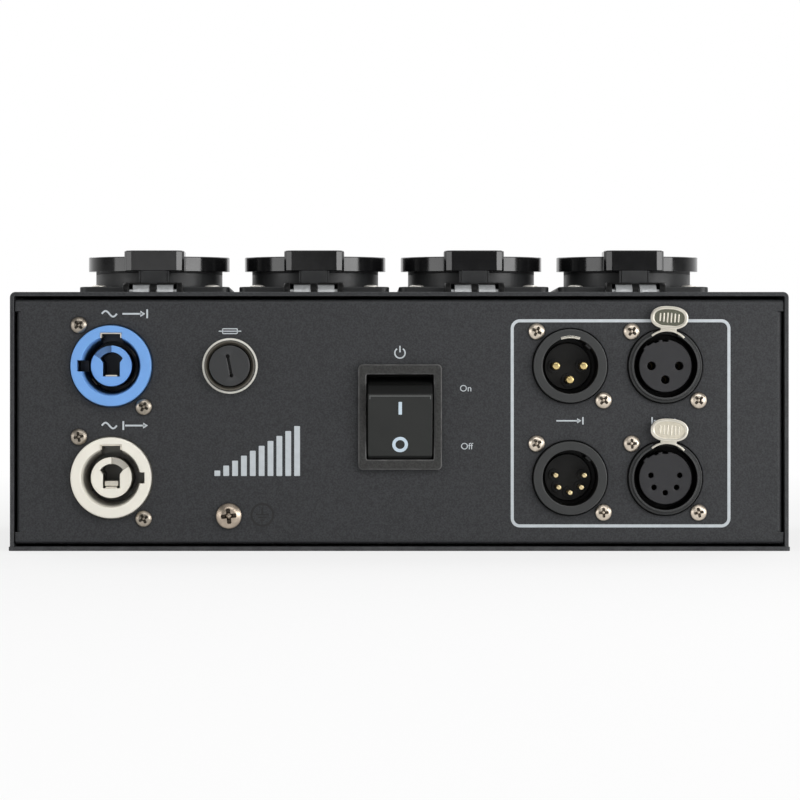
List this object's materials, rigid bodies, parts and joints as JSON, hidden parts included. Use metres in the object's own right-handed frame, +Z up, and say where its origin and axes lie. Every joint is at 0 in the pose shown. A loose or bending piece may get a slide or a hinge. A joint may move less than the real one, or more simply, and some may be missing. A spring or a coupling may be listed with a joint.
{
  "type": "dimmer pack",
  "caption": "Low steel box dimmer for stage lighting: lidded mains outlets on top, power and data connectors, fuse and switch in front, display and buttons behind.",
  "frame": {"origin": "on the ground, under the middle of the whole pack, connectors and buttons included", "axes": "+X along the box, to the right as the connector side is seen; +Y from the connector side to the display side; +Z up"},
  "size_m": [0.2292, 0.1802, 0.094],
  "materials": {
    "powder_coat": "fine speckled black powder coat",
    "socket_plastic": "moulded, satin",
    "lid_plastic": "moulded, glossy",
    "blue_plastic": "moulded, satin",
    "white_plastic": "moulded, satin",
    "connector_shell": "black plated die casting",
    "gold_contacts": "gold plated pins on a dark insulator",
    "nickel": "nickel plated steel",
    "switch_plastic": "moulded, satin",
    "rocker_plastic": "moulded, semi-gloss",
    "fuse_plastic": "moulded, satin",
    "fuse_glass": "clear tube with metal caps",
    "display_lens": "dark red filter",
    "button_plastic": "moulded, satin",
    "circuit_board": "solder mask",
    "sink_aluminium": "extruded",
    "copper_winding": "enamelled wire",
    "terminal_plastic": "moulded"
  },
  "bodies": {
    "casing": {"wrap_cover": "powder_coat", "base_plate": "powder_coat", "connector_panel": "powder_coat", "control_panel": "powder_coat", "power_inlet": "blue_plastic", "power_outlet": "white_plastic", "switch_housing": "switch_plastic", "fuse_holder": "fuse_plastic", "earth_screw": "nickel", "display_window": "display_lens", "control_board": "circuit_board", "power_board": "circuit_board", "data_board": "circuit_board", "heat_sink": "sink_aluminium", "mains_terminal_block": "terminal_plastic", "supply_module": "terminal_plastic", "socket_body_1": "socket_plastic", "lid_hinge_pin_1": "nickel", "filter_choke_1": "copper_winding", "socket_body_2": "socket_plastic", "lid_hinge_pin_2": "nickel", "filter_choke_2": "copper_winding", "socket_body_3": "socket_plastic", "lid_hinge_pin_3": "nickel", "filter_choke_3": "copper_winding", "socket_body_4": "socket_plastic", "lid_hinge_pin_4": "nickel", "filter_choke_4": "copper_winding", "data_in_3pin": "connector_shell", "data_in_3pin_contacts": "gold_contacts", "data_out_3pin": "connector_shell", "data_in_5pin": "connector_shell", "data_in_5pin_contacts": "gold_contacts", "data_out_5pin": "connector_shell", "data_out_5pin_insert": "socket_plastic", "power_inlet_screw_left": "nickel", "power_inlet_screw_right": "nickel", "power_outlet_screw_left": "nickel", "power_outlet_screw_right": "nickel", "data_in_3pin_screw_left": "nickel", "data_in_3pin_screw_right": "nickel", "data_in_5pin_screw_left": "nickel", "data_in_5pin_screw_right": "nickel", "data_out_3pin_screw_left": "nickel", "data_out_3pin_screw_right": "nickel", "data_out_5pin_screw_left": "nickel", "data_out_5pin_screw_right": "nickel"},
    "lid_1": {"socket_lid_1": "lid_plastic"},
    "lid_2": {"socket_lid_2": "lid_plastic"},
    "lid_3": {"socket_lid_3": "lid_plastic"},
    "lid_4": {"socket_lid_4": "lid_plastic"},
    "rocker": {"switch_rocker": "rocker_plastic"},
    "latch_3pin": {"push_latch_3pin": "nickel"},
    "latch_5pin": {"push_latch_5pin": "nickel"},
    "fuse_carrier": {"fuse_link": "fuse_glass"},
    "fuse_cap": {"fuse_cap": "fuse_plastic"},
    "button_mode": {"mode_button": "button_plastic"},
    "button_down": {"down_button": "button_plastic"},
    "button_up": {"up_button": "button_plastic"},
    "button_enter": {"enter_button": "button_plastic"}
  },
  "joints": [
    {"name": "lid_1_hinge", "type": "hinge", "parent": "casing", "child": "lid_1", "pos_m": [-0.0798, 0.02119, 0.0802], "axis": [1, 0, 0], "range_deg": [0, 105], "stiffness_Nm_per_rad": 0.02, "springref_deg": -34.38},
    {"name": "lid_2_hinge", "type": "hinge", "parent": "casing", "child": "lid_2", "pos_m": [-0.0266, 0.02119, 0.0802], "axis": [1, 0, 0], "range_deg": [0, 105], "stiffness_Nm_per_rad": 0.02, "springref_deg": -34.38},
    {"name": "lid_3_hinge", "type": "hinge", "parent": "casing", "child": "lid_3", "pos_m": [0.0266, 0.02119, 0.0802], "axis": [1, 0, 0], "range_deg": [0, 105], "stiffness_Nm_per_rad": 0.02, "springref_deg": -34.38},
    {"name": "lid_4_hinge", "type": "hinge", "parent": "casing", "child": "lid_4", "pos_m": [0.0798, 0.02119, 0.0802], "axis": [1, 0, 0], "range_deg": [0, 105], "stiffness_Nm_per_rad": 0.02, "springref_deg": -34.38},
    {"name": "rocker_tilt", "type": "hinge", "parent": "casing", "child": "rocker", "pos_m": [0.0002, -0.07771, 0.0393], "axis": [-1, 0, 0], "range_deg": [0, 26]},
    {"name": "latch_3pin_press", "type": "hinge", "parent": "casing", "child": "latch_3pin", "pos_m": [0.078, -0.08701, 0.0632], "axis": [-1, 0, 0], "range_deg": [0, 6], "stiffness_Nm_per_rad": 0.02, "springref_deg": -5.73},
    {"name": "latch_5pin_press", "type": "hinge", "parent": "casing", "child": "latch_5pin", "pos_m": [0.078, -0.08701, 0.0303], "axis": [-1, 0, 0], "range_deg": [0, 6], "stiffness_Nm_per_rad": 0.02, "springref_deg": -5.73},
    {"name": "fuse_pull", "type": "slide", "parent": "casing", "child": "fuse_carrier", "axis": [0, -1, 0], "range_m": [0, 0.04]},
    {"name": "fuse_cap_turn", "type": "hinge", "parent": "fuse_carrier", "child": "fuse_cap", "pos_m": [-0.0497, -0.08431, 0.0543], "axis": [0, 1, 0], "range_deg": [0, 90]},
    {"name": "mode_press", "type": "slide", "parent": "casing", "child": "button_mode", "axis": [0, -1, 0], "range_m": [0, 0.001], "stiffness_N_per_m": 200, "springref_m": -0.001},
    {"name": "down_press", "type": "slide", "parent": "casing", "child": "button_down", "axis": [0, -1, 0], "range_m": [0, 0.001], "stiffness_N_per_m": 200, "springref_m": -0.001},
    {"name": "up_press", "type": "slide", "parent": "casing", "child": "button_up", "axis": [0, -1, 0], "range_m": [0, 0.001], "stiffness_N_per_m": 200, "springref_m": -0.001},
    {"name": "enter_press", "type": "slide", "parent": "casing", "child": "button_enter", "axis": [0, -1, 0], "range_m": [0, 0.001], "stiffness_N_per_m": 200, "springref_m": -0.001}
  ]
}
